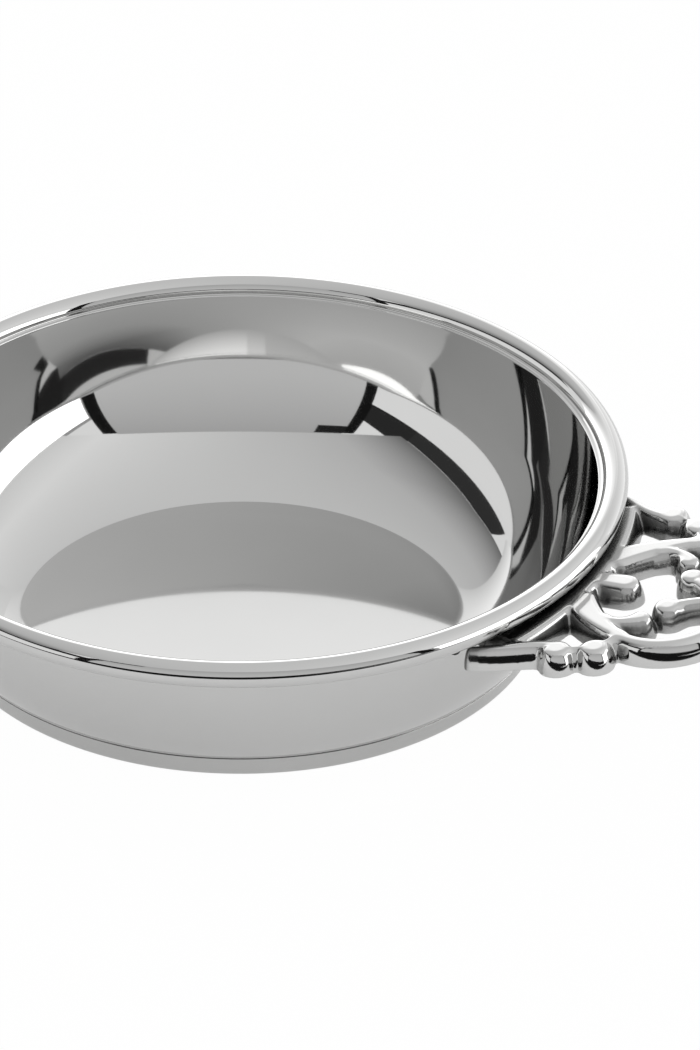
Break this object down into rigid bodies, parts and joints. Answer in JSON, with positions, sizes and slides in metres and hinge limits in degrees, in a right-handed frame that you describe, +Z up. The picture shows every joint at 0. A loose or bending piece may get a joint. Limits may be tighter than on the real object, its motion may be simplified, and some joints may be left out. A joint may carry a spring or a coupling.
{
  "type": "porringer",
  "caption": "Shallow round polished pewter porringer with a beaded rim, a low turned base ring and one flat openwork scroll handle.",
  "frame": {"origin": "on the bowl's axis, in the plane of the base ring's flat underside", "axes": "+X along the handle, away from the bowl; +Z up out of the bowl; +Y completes a right-handed frame"},
  "size_m": [0.1761, 0.127, 0.0338],
  "materials": {
    "polished_pewter": "polished pewter, mirror bright with faint turning lines",
    "turned_pewter": "turned pewter, fine lathe lines",
    "cast_pewter": "cast pewter, polished on top, softly rounded edges",
    "solder": "smoothed pewter solder"
  },
  "bodies": {
    "root": {"bowl": "polished_pewter", "rim_bead": "polished_pewter", "rim_solder": "solder", "base_ring": "turned_pewter", "base_solder": "solder", "handle": "cast_pewter", "handle_solder": "solder"}
  },
  "joints": []
}
